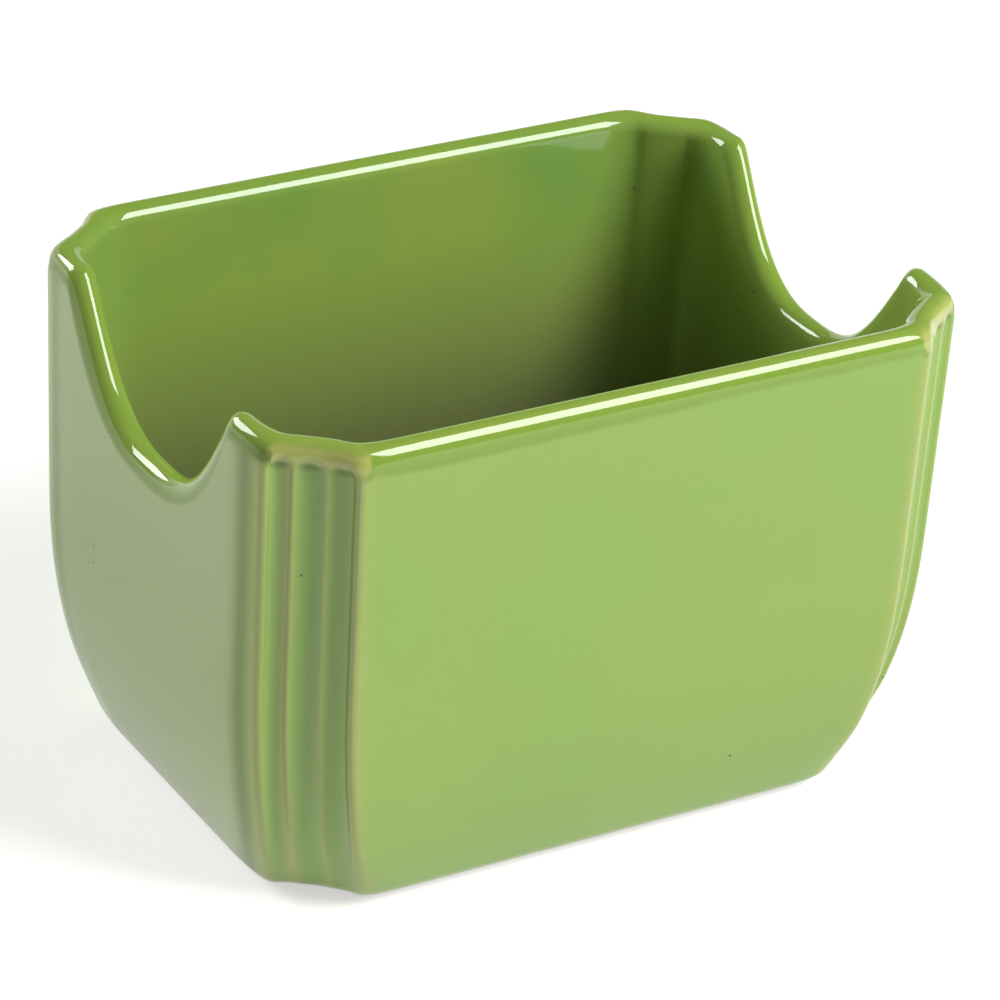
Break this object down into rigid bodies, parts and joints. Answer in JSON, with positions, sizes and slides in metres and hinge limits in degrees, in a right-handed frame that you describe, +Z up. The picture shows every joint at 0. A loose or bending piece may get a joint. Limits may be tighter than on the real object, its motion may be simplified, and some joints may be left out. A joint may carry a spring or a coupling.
{
  "type": "sugar packet holder",
  "caption": "Free-standing glazed stoneware box for sugar packets, with flat long walls, scooped end walls and fluted stepped corners.",
  "frame": {"origin": "centre of the foot, on the surface that the holder stands on", "axes": "+X along the length, from one scooped end wall to the other; +Y across, from the front panel to the back one; +Z up"},
  "size_m": [0.096, 0.071, 0.065],
  "materials": {
    "stoneware": "dry fired clay",
    "green_glaze": "gloss"
  },
  "bodies": {
    "root": {"stoneware_body": "stoneware", "glaze_coat": "green_glaze", "base_glaze": "green_glaze"}
  },
  "joints": []
}
